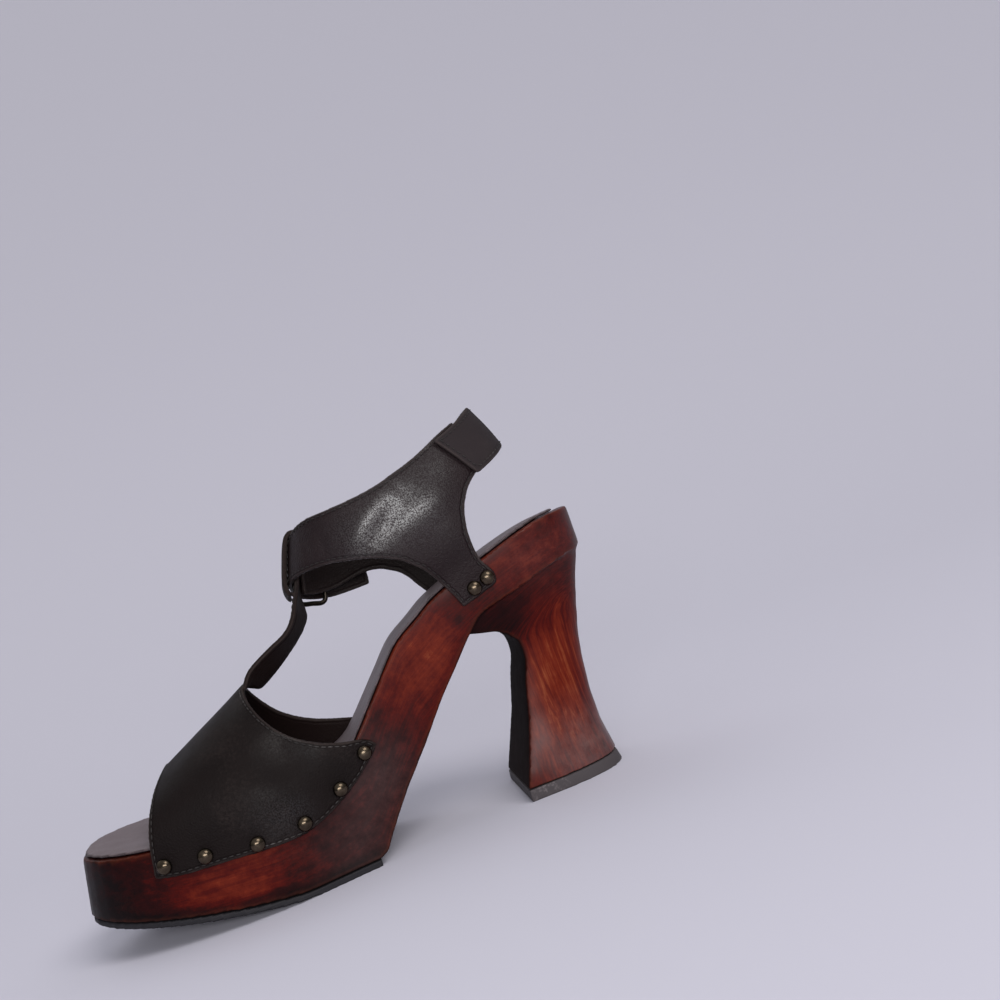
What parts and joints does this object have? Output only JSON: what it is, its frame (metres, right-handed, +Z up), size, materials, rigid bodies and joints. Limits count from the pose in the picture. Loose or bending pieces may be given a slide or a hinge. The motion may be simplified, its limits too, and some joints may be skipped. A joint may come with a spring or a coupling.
{
  "type": "platform sandal",
  "caption": "High-heeled platform sandal: carved wooden sole with arch gap, open-toe vamp tacked on with domed studs, centre strap looped over a buckled ankle strap.",
  "frame": {"origin": "on the floor under the middle of the shoe's overall box", "axes": "+X from toe to heel, +Y to the outer side of the foot, +Z up"},
  "size_m": [0.242, 0.0945, 0.1644],
  "materials": {
    "stained_wood": "satin red-brown stain and varnish",
    "rubber": "matt black",
    "sock_leather": "smooth, slightly glossy, dark grey-brown",
    "dark_leather": "smooth, semi-gloss, very dark brown",
    "matt_leather": "brushed, matt, dark brown",
    "old_brass": "darkened antique brass"
  },
  "bodies": {
    "root": {"wooden_sole": "stained_wood", "forefoot_outsole": "rubber", "heel_lift": "rubber", "insole_sock": "sock_leather", "vamp": "dark_leather", "inner_quarter": "dark_leather", "outer_quarter": "dark_leather", "heel_band": "matt_leather", "buckle_frame": "old_brass", "buckle_prong": "old_brass", "inner_vamp_stud_1": "old_brass", "inner_vamp_stud_2": "old_brass", "inner_vamp_stud_3": "old_brass", "inner_vamp_stud_4": "old_brass", "inner_vamp_stud_5": "old_brass", "inner_vamp_stud_6": "old_brass", "outer_vamp_stud_1": "old_brass", "outer_vamp_stud_2": "old_brass", "outer_vamp_stud_3": "old_brass", "outer_vamp_stud_4": "old_brass", "outer_vamp_stud_5": "old_brass", "outer_vamp_stud_6": "old_brass", "inner_tab_stud_1": "old_brass", "inner_tab_stud_2": "old_brass", "outer_tab_stud_1": "old_brass", "outer_tab_stud_2": "old_brass"}
  },
  "joints": []
}
